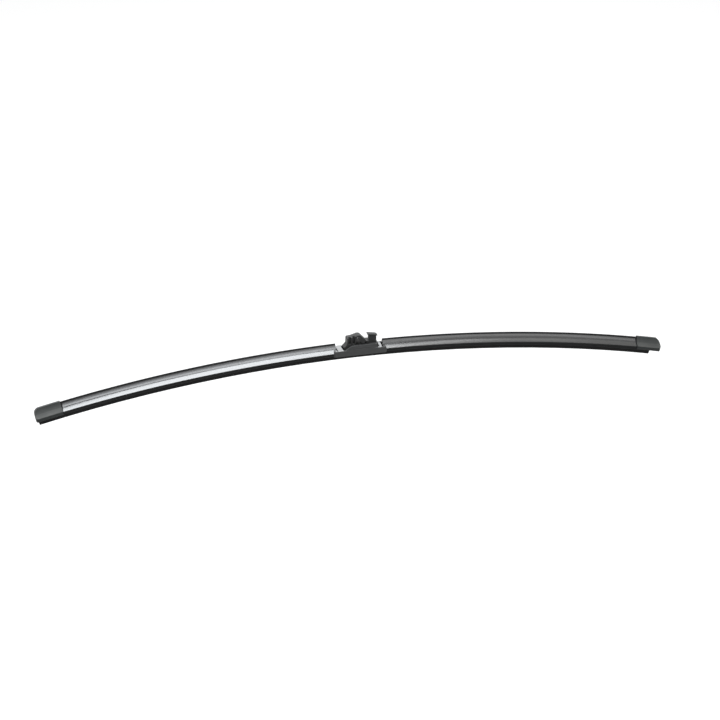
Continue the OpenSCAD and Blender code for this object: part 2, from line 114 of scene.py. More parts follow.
def rounded_outline(points: np.ndarray, radii: np.ndarray, steps: int = 4) -> np.ndarray:
    """Rounds every corner of a closed outline at once.

    A corner becomes an arc of its radius that touches both sides. Its tangent length is the radius
    over the tangent of half the corner's angle, and at most LONGEST_TANGENT of either side.

    Args:
        points: corners in order, shape (n, 2).
        radii: one radius for each corner; a corner of radius 0 stays one point.
        steps: points on each arc.

    Returns:
        The rounded outline.
    """
    before = np.roll(points, 1, axis=0) - points
    after = np.roll(points, -1, axis=0) - points
    len_before = np.linalg.norm(before, axis=1)
    len_after = np.linalg.norm(after, axis=1)
    u = before / len_before[:, None]
    v = after / len_after[:, None]
    half = np.arccos(np.clip((u * v).sum(axis=1), -1.0, 1.0)) / 2
    longest = LONGEST_TANGENT * np.minimum(len_before, len_after)
    tangent = np.minimum(radii / np.maximum(np.tan(half), LEAST_SLOPE), longest)
    t = np.linspace(0.0, 1.0, steps)[None, :, None]
    start = (points + u * tangent[:, None])[:, None, :]
    end = (points + v * tangent[:, None])[:, None, :]
    corner = points[:, None, :]
    weight = np.sin(half)[:, None, None]
    blend = (1 - t) ** 2 * start + 2 * weight * t * (1 - t) * corner + t**2 * end
    arcs = blend / ((1 - t) ** 2 + 2 * weight * t * (1 - t) + t**2)
    kept = (radii[:, None] > 0) | (np.arange(steps)[None, :] == 0)
    return arcs[kept]


def arc_center(a: Pair, b: Pair, radius: float) -> np.ndarray:
    """Centre of the arc through a and b that lies on the left of the way from a to b.

    Args:
        a: first end.
        b: last end.
        radius: radius of the arc.

    Returns:
        The centre, shape (2,).
    """
    start, end = np.array(a), np.array(b)
    way = end - start
    half = np.linalg.norm(way) / 2
    normal = np.array([-way[1], way[0]]) / np.linalg.norm(way)
    return (start + end) / 2 + normal * math.sqrt(radius**2 - half**2)


def arc_between(a: Pair, b: Pair, radius: float, count: int) -> np.ndarray:
    """Points of the arc from a to b whose centre is on the left of the way from a to b.

    Args:
        a: first end.
        b: last end.
        radius: radius of the arc.
        count: number of points, both ends included.

    Returns:
        Points on the arc, shape (count, 2).
    """
    start, end, center = np.array(a), np.array(b), arc_center(a, b, radius)
    first = math.atan2(*(start - center)[::-1])
    last = math.atan2(*(end - center)[::-1])
    turn = (last - first + math.pi) % (2 * math.pi) - math.pi
    angle = first + turn * np.linspace(0.0, 1.0, count)
    return center + radius * np.stack([np.cos(angle), np.sin(angle)], axis=1)


def make_mesh(
    name: str, points: np.ndarray, faces: list[tuple[int, ...]], sharp_deg: float = 24.0
) -> bpy.types.Object:
    """Makes an object from points and faces, smooth but for its sharp edges.

    Args:
        name: name of the piece.
        points: points in metres, shape (n, 3).
        faces: corner numbers of each face, turned so that the face points outwards.
        sharp_deg: edges that bend more than this stay sharp.

    Returns:
        The new object, at the origin.
    """
    mesh = bpy.data.meshes.new(name)
    mesh.from_pydata(points.reshape(-1, 3).tolist(), [], faces)
    mesh.polygons.foreach_set("use_smooth", np.ones(len(mesh.polygons), dtype=bool))
    mesh.set_sharp_from_angle(angle=math.radians(sharp_deg))
    mesh.update()
    piece = bpy.data.objects.new(name, mesh)
    bpy.context.scene.collection.objects.link(piece)
    return piece


def side_quads(count: int, steps: int) -> np.ndarray:
    """Faces between the neighbouring stations of a ring, outwards if it is anticlockwise.

    Args:
        count: number of points in the ring.
        steps: number of stations.

    Returns:
        Corner numbers, shape ((steps - 1) * count, 4).
    """
    i, j = np.meshgrid(np.arange(steps - 1), np.arange(count), indexing="ij")
    k = (j + 1) % count
    near, far = i * count, (i + 1) * count
    return np.stack([near + j, near + k, far + k, far + j], axis=-1).reshape(-1, 4)


def end_triangles(rings: list[np.ndarray]) -> np.ndarray:
    """Triangles over an outline less its holes, all anticlockwise.

    Args:
        rings: the outline first, then any holes.

    Returns:
        Corner numbers into the rings' points, one ring after another, shape (n, 3).
    """
    flat = [[Vector((*point, 0.0)) for point in ring.tolist()] for ring in rings]
    triangles = np.array(tessellate_polygon(flat))
    corners = np.concatenate(rings)[triangles]
    edge_a, edge_b = corners[:, 1] - corners[:, 0], corners[:, 2] - corners[:, 0]
    clockwise = edge_a[:, 0] * edge_b[:, 1] - edge_a[:, 1] * edge_b[:, 0] < 0
    triangles[clockwise] = triangles[clockwise][:, ::-1]
    return triangles


def swept_solid(
    name: str, arch: Arch, rings: list[np.ndarray], start: float, end: float, steps: int
) -> bpy.types.Object:
    """Sweeps an outline, with any holes, along the arch and closes both ends.

    The faces along the rings come first, ring by ring, then those of the two ends.

    Args:
        name: name of the piece.
        arch: the arch to follow.
        rings: the outline first, then any holes, all anticlockwise as [across, height].
        start: first station.
        end: last station.
        steps: number of stations.

    Returns:
        The new object.
    """
    stations = np.linspace(start, end, steps)
    counts = [len(ring) for ring in rings]
    firsts = np.cumsum([0] + [steps * count for count in counts[:-1]])
    points = np.concatenate([arch.sweep(ring, stations).reshape(-1, 3) for ring in rings])
    faces: list[tuple[int, ...]] = []
    for index, (count, first) in enumerate(zip(counts, firsts)):
        quads = side_quads(count, steps) + first
        faces.extend(map(tuple, (quads if index == 0 else quads[:, ::-1]).tolist()))
    triangles = end_triangles(rings)
    near = np.concatenate([np.arange(count) + first for count, first in zip(counts, firsts)])
    far = near + np.repeat([(steps - 1) * count for count in counts], counts)
    faces.extend(map(tuple, near[triangles][:, ::-1].tolist()))
    faces.extend(map(tuple, far[triangles].tolist()))
    return make_mesh(name, points, faces)


class Texture(Enum):
    """The small relief of a surface."""

    MOULDED = "moulded"
    EXTRUDED = "extruded"
    BRUSHED = "brushed"


# How a relief is stretched along the blade and how fine its grain is. The clouds of tone and
# roughness are CLOUD_SIZE times as large as the grain.
STRETCH = {
    Texture.MOULDED: (1.0, 1.0, 1.0),
    Texture.EXTRUDED: (0.012, 1.0, 1.0),
    Texture.BRUSHED: (0.03, 1.0, 1.0),
}
GRAIN_SCALE = {Texture.MOULDED: 2600.0, Texture.EXTRUDED: 1500.0, Texture.BRUSHED: 4200.0}
CLOUD_SIZE = 30


@dataclass(frozen=True)
class Finish:
    """A finish of one of the blade's pieces.

    Args:
        name: material name.
        color: base colour, linear.
        worn: colour of rubbed edges, linear.
        rough: plain roughness.
        rough_spread: how far the roughness varies.
        specular: the shader's specular level.
        texture: which relief it has.
        relief: depth of the relief.
        metallic: metal share of the surface.
        wear: strength of the rubbed edges.
        dust_and_top_light: strength of the dust film on upward faces; on the end caps it is strong
            enough to paint light on their upward faces.
        edge: radius of the softened edges.
    """

    name: str
    color: Triple
    worn: Triple
    rough: float
    rough_spread: float = 0.08
    specular: float = 0.5
    texture: Texture = Texture.MOULDED
    relief: float = 0.00002
    metallic: float = 0.0
    wear: float = 0.4
    dust_and_top_light: float = 0.12
    edge: float = 0.0003


@dataclass(frozen=True)
class Gloss:
    """A clear coat over a part of a piece.

    Args:
        bounds: where it lies, as Workshop.mask takes them.
        rough: roughness of the coat.
        ior: its index of refraction.
    """

    bounds: dict[str, Pair]
    rough: float
    ior: float


RUBBER = Finish(
    "wiping_rubber_black", color=(0.028, 0.028, 0.028), worn=(0.03, 0.03, 0.03), rough=0.62,
    specular=0.14, texture=Texture.EXTRUDED, relief=0.000012, wear=0.25, dust_and_top_light=0.06, edge=0.0002,
)
SPOILER = Finish(
    "spoiler_black", color=(0.021, 0.0215, 0.022), worn=(0.04, 0.04, 0.04), rough=0.5,
    rough_spread=0.06, specular=0.14, texture=Texture.EXTRUDED, relief=0.000008, wear=0.25,
    dust_and_top_light=0.05, edge=0.0002,
)
# Painted shade: the spoiler's cut ends are near black, darker than the spoiler, for the shade in
# the gaps beside the cover.
SPOILER_CUT_SHADE = Finish(
    "spoiler_cut_painted_shade", color=(0.006, 0.006, 0.006), worn=(0.01, 0.01, 0.01), rough=0.85,
    rough_spread=0.05, specular=0.02, wear=0.1, dust_and_top_light=0.0, edge=0.0001,
)
# The end caps get a strong dust film (dust 0.8): painted light that makes their upward faces
# lighter than their steep flank.
CAP = Finish(
    "end_cap_grey", color=(0.058, 0.062, 0.061), worn=(0.13, 0.13, 0.13), rough=0.4,
    specular=0.16, wear=0.35, dust_and_top_light=0.8,
)
COVER = Finish(
    "base_cover_grey", color=(0.084, 0.085, 0.085), worn=(0.13, 0.13, 0.13), rough=0.42,
    specular=0.3, wear=0.45, dust_and_top_light=0.1,
)
ADAPTER = Finish(
    "adapter_grey", color=(0.057, 0.057, 0.056), worn=(0.1, 0.1, 0.1), rough=0.45,
    specular=0.18, wear=0.5, dust_and_top_light=0.1,
)
RAIL = Finish(
    "spring_rail_steel", color=(0.4, 0.41, 0.43), worn=(0.6, 0.6, 0.61), rough=0.32,
    rough_spread=0.06, texture=Texture.BRUSHED, relief=0.000006, metallic=1.0, wear=0.3,
    dust_and_top_light=0.05, edge=0.0001,
)
BRACKET = Finish(
    "bracket_coated_steel", color=(0.1, 0.105, 0.11), worn=(0.4, 0.4, 0.41), rough=0.4,
    relief=0.00001, metallic=0.4, wear=0.6, dust_and_top_light=0.08, edge=0.0002,
)
RIVET = Finish(
    "rivet_plated_steel", color=(0.48, 0.49, 0.5), worn=(0.65, 0.65, 0.66), rough=0.3,
    rough_spread=0.06, texture=Texture.BRUSHED, relief=0.000004, metallic=1.0, wear=0.3,
    dust_and_top_light=0.06, edge=0.0001,
)

FACE_GLOSS = Gloss(
    {"height": (9.6, 16.75), "station": (0.0, 320.3), "across": (-7.0, 6.2)}, rough=0.2, ior=2.2
)
DECK_GLOSS = Gloss({"height": (11.9, 13.2), "station": (16.0, 40.0)}, rough=0.14, ior=1.5)
# Painted shade: the walls and floor of the cover's end slots are painted near black.
SLOT_SHADE_BOUNDS = {"height": (9.0, 12.4), "station": (24.45, 25.9), "across": (-6.95, 6.95)}
SLOT_SHADE_COLOR = (0.002, 0.002, 0.002)
# Mixed in on upward faces: dust on every piece, and painted top light on the end caps.
DUST_AND_TOP_LIGHT_COLOR = (0.2, 0.2, 0.19)
# The share of its colour that a finish keeps in its darkest clouds.
DARKER = 0.85
BUMP_STRENGTH = 0.5
# The width of a mask's edge, in millimetres.
FADE = 0.1

FLOAT = "NodeSocketFloat"
VECTOR = "NodeSocketVector"
VECTOR_MATH = "ShaderNodeVectorMath"
# The Mix node's sockets for colours share their names with those for numbers and vectors.
MIX_A, MIX_B, MIX_RESULT = 6, 7, 2


def connect(tree: Tree, node: bpy.types.Node, inputs: dict[str | int, object]) -> None:
    """Feeds a node's inputs.

    Args:
        tree: the node's tree.
        node: the node.
        inputs: name or number of an input to the socket that feeds it or to its plain value.
    """
    for key, value in inputs.items():
        if isinstance(value, Socket):
            tree.links.new(value, node.inputs[key])
        else:
            node.inputs[key].default_value = value


def add_node(
    tree: Tree, kind: str, inputs: dict[str | int, object] | None = None, **settings: object
) -> bpy.types.Node:
    """Adds a node.

    Args:
        tree: the tree that gets it.
        kind: the node's type.
        inputs: what feeds its inputs, as in connect.
        settings: its properties.

    Returns:
        The new node.
    """
    node = tree.nodes.new(kind)
    for key, value in settings.items():
        setattr(node, key, value)
    connect(tree, node, inputs or {})
    return node


def calculate(
    tree: Tree, operation: str, a: Socket, b: Socket | float, clamp: bool = False
) -> Socket:
    """Works out one value from two.

    Args:
        tree: the tree that gets the node.
        operation: the Math node's operation.
        a: first value.
        b: second value.
        clamp: whether the result is held between 0 and 1.

    Returns:
        The socket of the result.
    """
    node = add_node(tree, "ShaderNodeMath", {0: a, 1: b}, operation=operation, use_clamp=clamp)
    return node.outputs["Value"]


def map_range(tree: Tree, value: Socket, low: float, high: float) -> Socket:
    """Maps a value from between low and high to between 0 and 1.

    Args:
        tree: the tree that gets the node.
        value: the value.
        low: what becomes 0.
        high: what becomes 1; it may be lower than low.

    Returns:
        The socket of the result.
    """
    inputs = {"Value": value, "From Min": low, "From Max": high}
    return add_node(tree, "ShaderNodeMapRange", inputs).outputs["Result"]


def object_place(tree: Tree) -> Socket:
    """The shaded point's place on its object.

    Args:
        tree: the tree that gets the node.

    Returns:
        The socket of the place.
    """
    return add_node(tree, "ShaderNodeTexCoord").outputs["Object"]


def noise(tree: Tree, place: Socket, scale: float, detail: float) -> Socket:
    """Noise between 0 and 1.

    Args:
        tree: the tree that gets the node.
        place: the socket that gives the place.
        scale: how fine it is.
        detail: how many finer layers it has.

    Returns:
        The socket of the noise.
    """
    inputs = {"Vector": place, "Scale": scale, "Detail": detail}
    return add_node(tree, "ShaderNodeTexNoise", inputs).outputs["Fac"]


def mix_colors(tree: Tree, factor: Socket, a: Socket | Triple, b: Triple) -> Socket:
    """Mixes two colours.

    Args:
        tree: the tree that gets the node.
        factor: share of the second colour.
        a: first colour, a socket or a plain one.
        b: second colour.

    Returns:
        The socket of the mixed colour.
    """
    first = a if isinstance(a, Socket) else (*a, 1.0)
    inputs = {"Factor": factor, MIX_A: first, MIX_B: (*b, 1.0)}
    return add_node(tree, "ShaderNodeMix", inputs, data_type="RGBA").outputs[MIX_RESULT]


def new_group(
    name: str, inputs: dict[str, float], outputs: dict[str, str]
) -> tuple[Tree, bpy.types.Node, bpy.types.Node]:
    """Makes an empty shader node group.

    Args:
        name: name of the group.
        inputs: name of each input to its plain value.
        outputs: name of each output to its socket type.

    Returns:
        The group, its input node and its output node.
    """
    tree = bpy.data.node_groups.new(name, "ShaderNodeTree")
    for label, value in inputs.items():
        socket = tree.interface.new_socket(label, in_out="INPUT", socket_type=FLOAT)
        socket.default_value = value
    for label, kind in outputs.items():
        tree.interface.new_socket(label, in_out="OUTPUT", socket_type=kind)
    return tree, tree.nodes.new("NodeGroupInput"), tree.nodes.new("NodeGroupOutput")


class Effects:
    """The node groups that the finishes share."""

    # The cosines between the rounded and the plain normal where rubbing starts and where it is
    # full.
    UNTOUCHED_BEND = 0.995
    RUBBED_BEND = 0.86
    #     The upward parts of the normal where the dust film, which on the end caps is painted top
    #     light, starts and where it is full.
    STEEP = 0.2
    LEVEL = 0.95

    def __init__(self) -> None:
        """Builds each group once."""
        self.relief = {texture: self._relief(texture) for texture in Texture}
        self.edges = self._edges()
        self.dust_and_top_light = self._dust_and_top_light()

    def _relief(self, texture: Texture) -> Tree:
        """Fine relief: even grain on mouldings, long lines on extrusions and brushed metal.

        Args:
            texture: which relief to build.

        Returns:
            A group with the outputs Height and Variation.
        """
        outputs = {"Height": FLOAT, "Variation": FLOAT}
        tree, _, out = new_group(f"{texture.value}_relief", {}, outputs)
        inputs = {"Vector": object_place(tree), "Scale": STRETCH[texture]}
        place = add_node(tree, "ShaderNodeMapping", inputs).outputs["Vector"]
        fine = GRAIN_SCALE[texture]
        connect(tree, out, {
            "Height": noise(tree, place, scale=fine, detail=3.0),
            "Variation": noise(tree, place, scale=fine / CLOUD_SIZE, detail=4.0),
        })
        return tree

    def _edges(self) -> Tree:
        """Softened edges and where they are rubbed.

        The cosine between the rounded normal and the plain one gives the mask, and noise breaks
        it up.

        Returns:
            A group with the outputs Normal and Mask.
        """
        tree, start, out = new_group(
            "rubbed_edges", {"Radius": 0.0003, "Amount": 0.5}, {"Normal": VECTOR, "Mask": FLOAT}
        )
        radius = {"Radius": start.outputs["Radius"]}
        rounded = add_node(tree, "ShaderNodeBevel", radius, samples=6).outputs["Normal"]
        plain = add_node(tree, "ShaderNodeNewGeometry").outputs["Normal"]
        normals = {0: rounded, 1: plain}
        dot = add_node(tree, VECTOR_MATH, normals, operation="DOT_PRODUCT")
        bend = map_range(tree, dot.outputs["Value"], self.UNTOUCHED_BEND, self.RUBBED_BEND)
        patches = noise(tree, object_place(tree), scale=260.0, detail=5.0)
        broken = calculate(tree, "MULTIPLY", bend, patches)
        mask = calculate(tree, "MULTIPLY", broken, start.outputs["Amount"], clamp=True)
        connect(tree, out, {"Normal": rounded, "Mask": mask})
        return tree

    def _dust_and_top_light(self) -> Tree:
        """A thin film of dust on what faces up, from the upward part of the normal; on the end
        caps it is painted top light.

        Returns:
            A group with the output Mask.
        """
        tree, start, out = new_group("dust_and_painted_top_light", {"Amount": 0.1}, {"Mask": FLOAT})
        normal = {"Vector": add_node(tree, "ShaderNodeNewGeometry").outputs["Normal"]}
        split = add_node(tree, "ShaderNodeSeparateXYZ", normal)
        upward = map_range(tree, split.outputs["Z"], self.STEEP, self.LEVEL)
        patches = noise(tree, object_place(tree), scale=90.0, detail=6.0)
        upward_patches = calculate(tree, "MULTIPLY", upward, patches)
        mask = calculate(tree, "MULTIPLY", upward_patches, start.outputs["Amount"], clamp=True)
        connect(tree, out, {"Mask": mask})
        return tree


class Workshop:
    """Makes a material from each finish."""

    def __init__(self, arch: Arch) -> None:
        """Builds the shared effects.

        Args:
            arch: the blade's arch, which the masks follow.
        """
        self.arch = arch
        self.effects = Effects()
        self.made: dict[str, bpy.types.Material] = {}

    def material(self, finish: Finish) -> bpy.types.Material:
        """Makes a finish's material, or gives the one already made.

        Args:
            finish: the finish.

        Returns:
            Its material.
        """
        if finish.name in self.made:
            return self.made[finish.name]
        material = bpy.data.materials.new(finish.name)
        material.use_nodes = True
        tree = material.node_tree
        relief = add_node(tree, "ShaderNodeGroup", node_tree=self.effects.relief[finish.texture])
        edge_values = {"Radius": finish.edge, "Amount": finish.wear}
        edges = add_node(tree, "ShaderNodeGroup", edge_values, node_tree=self.effects.edges)
        # Dust on upward faces; on the end caps it is painted light on their upward faces.
        amount = {"Amount": finish.dust_and_top_light}
        dust_and_top_light = add_node(tree, "ShaderNodeGroup", amount, node_tree=self.effects.dust_and_top_light)

        variation = relief.outputs["Variation"]
        darker = tuple(channel * DARKER for channel in finish.color)
        tone = mix_colors(tree, variation, finish.color, darker)
        rubbed = mix_colors(tree, edges.outputs["Mask"], tone, finish.worn)
        rough = add_node(tree, "ShaderNodeMapRange", {
            "Value": variation,
            "To Min": finish.rough - finish.rough_spread,
            "To Max": finish.rough + finish.rough_spread,
        })
        bump = add_node(tree, "ShaderNodeBump", {
            "Strength": BUMP_STRENGTH,
            "Distance": finish.relief,
            "Height": relief.outputs["Height"],
            "Normal": edges.outputs["Normal"],
        })
        connect(tree, tree.nodes["Principled BSDF"], {
            "Metallic": finish.metallic,
            "Specular IOR Level": finish.specular,
            "Base Color": mix_colors(tree, dust_and_top_light.outputs["Mask"], rubbed, DUST_AND_TOP_LIGHT_COLOR),
            "Roughness": rough.outputs["Result"],
            "Normal": bump.outputs["Normal"],
        })
        self.made[finish.name] = material
        return material

    def mask(self, tree: Tree, bounds: dict[str, Pair]) -> Socket:
        """A mask that is 1 inside every one of the bounds and falls to 0 over FADE millimetres.

        Height is the distance from the arch's centre less the arch's radius, station the distance
        from the blade's middle either way, and across the distance behind the blade's middle.

        Args:
            tree: the material's tree.
            bounds: lowest and highest value in millimetres of "height", "station" or "across".

        Returns:
            The socket of the mask.
        """
        arch, place = self.arch, object_place(tree)
        center = (arch.pivot_x * MM, 0.0, (arch.edge_z - arch.radius) * MM)
        from_center = add_node(tree, VECTOR_MATH, {0: place, 1: center}, operation="SUBTRACT")
        way = from_center.outputs["Vector"]
        flat = add_node(tree, VECTOR_MATH, {0: way, 1: (1.0, 0.0, 1.0)}, operation="MULTIPLY")
        reach = add_node(tree, VECTOR_MATH, {0: flat.outputs["Vector"]}, operation="LENGTH")
        aside = add_node(tree, "ShaderNodeSeparateXYZ", {"Vector": way})
        either = add_node(tree, "ShaderNodeMath", {0: aside.outputs["X"]}, operation="ABSOLUTE")
        split = add_node(tree, "ShaderNodeSeparateXYZ", {"Vector": place})
        sources = {
            "height": (reach.outputs["Value"], arch.radius),
            "station": (either.outputs["Value"], 0.0),
            "across": (split.outputs["Y"], 0.0),
        }
        mask = None
        for name, span in bounds.items():
            value, base = sources[name]
            for edge, fade in zip(span, (FADE, -FADE)):
                inside = map_range(tree, value, (base + edge) * MM, (base + edge + fade) * MM)
                both = mask is not None
                mask = calculate(tree, "MULTIPLY", mask, inside) if both else inside
        return mask

    def _coat(self, material: bpy.types.Material, gloss: Gloss) -> None:
        """Adds a clear coat to a material.

        Args:
            material: the material.
            gloss: the coat.
        """
        tree = material.node_tree
        connect(tree, tree.nodes["Principled BSDF"], {
            "Coat Weight": self.mask(tree, gloss.bounds),
            "Coat Roughness": gloss.rough,
            "Coat IOR": gloss.ior,
        })

    def glossy_face(self, finish: Finish) -> bpy.types.Material:
        """Adds the gloss of the spoiler's hollow faces, which its edges, tip and foot don't have.

        The gloss stops just before each end cap, where the seam keeps the light out.

        Args:
            finish: the spoiler's plain finish.

        Returns:
            The spoiler's material.
        """
        material = self.material(finish)
        self._coat(material, FACE_GLOSS)
        return material

    def polished_deck(self, finish: Finish) -> bpy.types.Material:
        """Adds the polish of the cover's flat deck and painted shade, near black, in its end
        slots.

        Args:
            finish: the cover's plain finish.

        Returns:
            The cover's material.
        """
        material = self.material(finish)
        self._coat(material, DECK_GLOSS)
        tree = material.node_tree
        color = tree.nodes["Principled BSDF"].inputs["Base Color"]
        # Painted shade in the end slots.
        slot_shade = self.mask(tree, SLOT_SHADE_BOUNDS)
        tree.links.new(mix_colors(tree, slot_shade, color.links[0].from_socket, SLOT_SHADE_COLOR), color)
        return material


@dataclass
class Spoiler:
    """The two halves of the hollow spoiler that is clipped over the rails.

    Args:
        arch: the arch to follow.
        start: distance of each half's inner end from the blade's middle.
        end: distance of its outer end.
        claws: corners of the underside, from the front claw round the rails to the foot.
        chin: lower corner of the front edge.
        wing: upper corner of the front edge.
        crease: where the two hollow front faces meet.
        tip: where the front face meets the bead along the tip.
        rear_tip: where the back meets the bead along the tip.
        foot: where the back meets the foot.
        low_radius: radius of the lower hollow face.
        high_radius: radius of the upper hollow face.
        rear_radius: radius of the hollow back.
        bead_radius: radius of the bead along the tip, just over half the tip's width.
        claw_round: radius of the underside's corners.
        foot_round: radius of the corner at the foot.
        wing_round: radius of the front edge's two corners.
        groove: radius of the fine groove along the crease.
        groove_clear: how far the faces keep from the crease, in radii of the groove.
        groove_turn: first and last angle of the groove's arc, in degrees.
        wall: wall round the hollow chamber.
        chamber_floor: height of the chamber's floor.
        narrowest: least width of the chamber, which sets the height of its top.
    """

    ARC_POINTS = 17
    BEAD_POINTS = 11
    GROOVE_POINTS = 9
    CHAMBER_POINTS = 21
    SEARCH_POINTS = 801
    STATIONS = 121

    arch: Arch
    start: float = 25.8
    end: float = 341.85
    claws: tuple[Pair, ...] = (
        (-5.5, 8.06), (-5.5, 6.4), (-2.95, 6.4), (-2.95, 7.4), (-4.5, 7.4), (-4.5, 8.4),
        (-2.65, 8.4), (-2.65, 9.3), (2.65, 9.3), (2.65, 8.4), (4.5, 8.4), (4.5, 7.4),
        (2.95, 7.4), (2.95, 6.4), (5.5, 6.4), (5.5, 8.3), (5.7, 8.3),
    )
    chin: Pair = (-6.4, 8.6)
    wing: Pair = (-6.4, 9.7)
    crease: Pair = (-2.2, 12.7)
    tip: Pair = (1.05, 17.75)
    rear_tip: Pair = (2.15, 17.75)
    foot: Pair = (5.7, 9.4)
    low_radius: float = 40.0
    high_radius: float = 20.0
    rear_radius: float = 30.0
    bead_radius: float = 0.5501
    claw_round: float = 0.12
    foot_round: float = 0.15
    wing_round: float = 0.18
    groove: float = 0.2
    groove_clear: float = 1.2
    groove_turn: Pair = (58.5, -145.0)
    wall: float = 1.3
    chamber_floor: float = 10.75
    narrowest: float = 0.04

    def front(self) -> np.ndarray:
        """The front from the tip down: two hollow faces with the fine groove between them.

        Returns:
            Points [across, height].
        """
        high = arc_between(self.crease, self.tip, self.high_radius, self.ARC_POINTS)[::-1]
        low = arc_between(self.wing, self.crease, self.low_radius, self.ARC_POINTS)[::-1]
        crease, clear = np.array(self.crease), self.groove * self.groove_clear
        high, low = (face[np.linalg.norm(face - crease, axis=1) > clear] for face in (high, low))
        turn = np.radians(np.linspace(*self.groove_turn, self.GROOVE_POINTS))
        groove = crease + self.groove * np.stack([np.cos(turn), np.sin(turn)], axis=1)
        return np.concatenate([high, groove, low])

    def outline(self) -> np.ndarray:
        """The outline of the section, anticlockwise, with small rounded corners.

        Returns:
            Points [across, height].
        """
        rear = arc_between(self.rear_tip, self.foot, self.rear_radius, self.ARC_POINTS)[::-1]
        bead = arc_between(self.rear_tip, self.tip, self.bead_radius, self.BEAD_POINTS)[1:-1]
        points = np.concatenate([self.claws, rear, bead, self.front(), [self.chin]])
        radii = np.zeros(len(points))
        radii[:len(self.claws)] = self.claw_round
        radii[len(self.claws)] = self.foot_round
        radii[-2:] = self.wing_round
        return rounded_outline(points, radii)

    def _side(
        self, height: np.ndarray, a: Pair, b: Pair, radius: float, turn: float
    ) -> np.ndarray:
        """How far across a hollow side is, moved into the section by the wall.

        Args:
            height: heights to give it at.
            a: one end of the side's arc.
            b: its other end, with the arc's centre on the left of the way from a to b.
            radius: radius of the arc.
            turn: 1 for a side that is in front of the chamber, -1 for one behind it.

        Returns:
            Distances across, one for each height.
        """
        center = arc_center(a, b, radius)
        return center[0] + turn * np.sqrt((radius + self.wall) ** 2 - (height - center[1]) ** 2)

    def _sides(self, height: np.ndarray) -> tuple[np.ndarray, np.ndarray]:
        """Front and rear side of the chamber.

        Args:
            height: heights to give them at.

        Returns:
            Distances across of the front side and of the rear side, one for each height.
        """
        low = self._side(height, self.wing, self.crease, self.low_radius, 1.0)
        high = self._side(height, self.crease, self.tip, self.high_radius, 1.0)
        rear = self._side(height, self.rear_tip, self.foot, self.rear_radius, -1.0)
        return np.minimum(low, high), rear

    def chamber(self) -> np.ndarray:
        """The hollow chamber's outline, anticlockwise: the sides moved in by the wall.

        Returns:
            Points [across, height].
        """
        tried = np.linspace(self.chamber_floor, self.tip[1], self.SEARCH_POINTS)
        front, rear = self._sides(tried)
        top = tried[rear - front > self.narrowest][-1]
        height = np.linspace(self.chamber_floor, top, self.CHAMBER_POINTS)
        front, rear = self._sides(height)
        up = np.stack([rear, height], axis=1)
        down = np.stack([front, height], axis=1)[::-1]
        return np.concatenate([up, down])

    def build(self, workshop: Workshop) -> None:
        """Sweeps both halves and dresses them, with near-black painted shade on their cut ends.

        Args:
            workshop: maker of the materials.
        """
        face, cut_shade = workshop.glossy_face(SPOILER), workshop.material(SPOILER_CUT_SHADE)
        rings = [self.outline(), self.chamber()]
        first_cut = (self.STATIONS - 1) * sum(map(len, rings))
        halves = {"left": (-self.end, -self.start), "right": (self.start, self.end)}
        for side, (start, end) in halves.items():
            name = f"spoiler_{side}_profile"
            piece = swept_solid(name, self.arch, rings, start, end, self.STATIONS)
            piece.data.materials.append(face)
            piece.data.materials.append(cut_shade)
            finishes = np.zeros(len(piece.data.polygons), dtype=np.int32)
            # The cut ends get the painted shade.
            finishes[first_cut:] = 1
            piece.data.polygons.foreach_set("material_index", finishes)
            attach(piece, "blade")
            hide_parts(f"spoiler_{side}")
            LOG.info("swept %s from %.1f to %.1f mm", piece.name, start, end)


@dataclass
class Blade:
    """The pieces that keep their CAD shape.

    Args:
        finishes: node name to its finish.
    """

    finishes: dict[str, Finish] = field(default_factory=lambda: {
        "wiping_rubber": RUBBER,
        "spring_rail_front": RAIL,
        "spring_rail_rear": RAIL,
        "end_cap_left": CAP,
        "end_cap_right": CAP,
        "base_bracket": BRACKET,
        "base_cover": COVER,
        "pivot_rivet": RIVET,
        "pivot_sleeve": RIVET,
        "arm_adapter": ADAPTER,
    })

    def build(self, workshop: Workshop) -> None:
        """Dresses each piece.

        Args:
            workshop: maker of the materials.
        """
        for node, finish in self.finishes.items():
            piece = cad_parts[node]
            piece.data.materials.clear()
            piece.data.materials.append(workshop.material(finish))
            LOG.info("dressed %s with %s", node, finish.name)
        workshop.polished_deck(COVER)


COOL = (0.94, 0.97, 1.0)
WARM = (1.0, 1.0, 0.96)


@dataclass(frozen=True)
class Softbox:
    """A rectangular lamp.

    Args:
        name: name of the lamp.
        place: its middle.
        aim: the point that it faces.
        size: its two sides, along X and across.
        radiance: how bright its face is, where 1 is white.
        tint: its colour.
    """

    name: str
    place: Triple
    aim: Triple
    size: Pair
    radiance: float
    tint: Triple = (1.0, 1.0, 1.0)


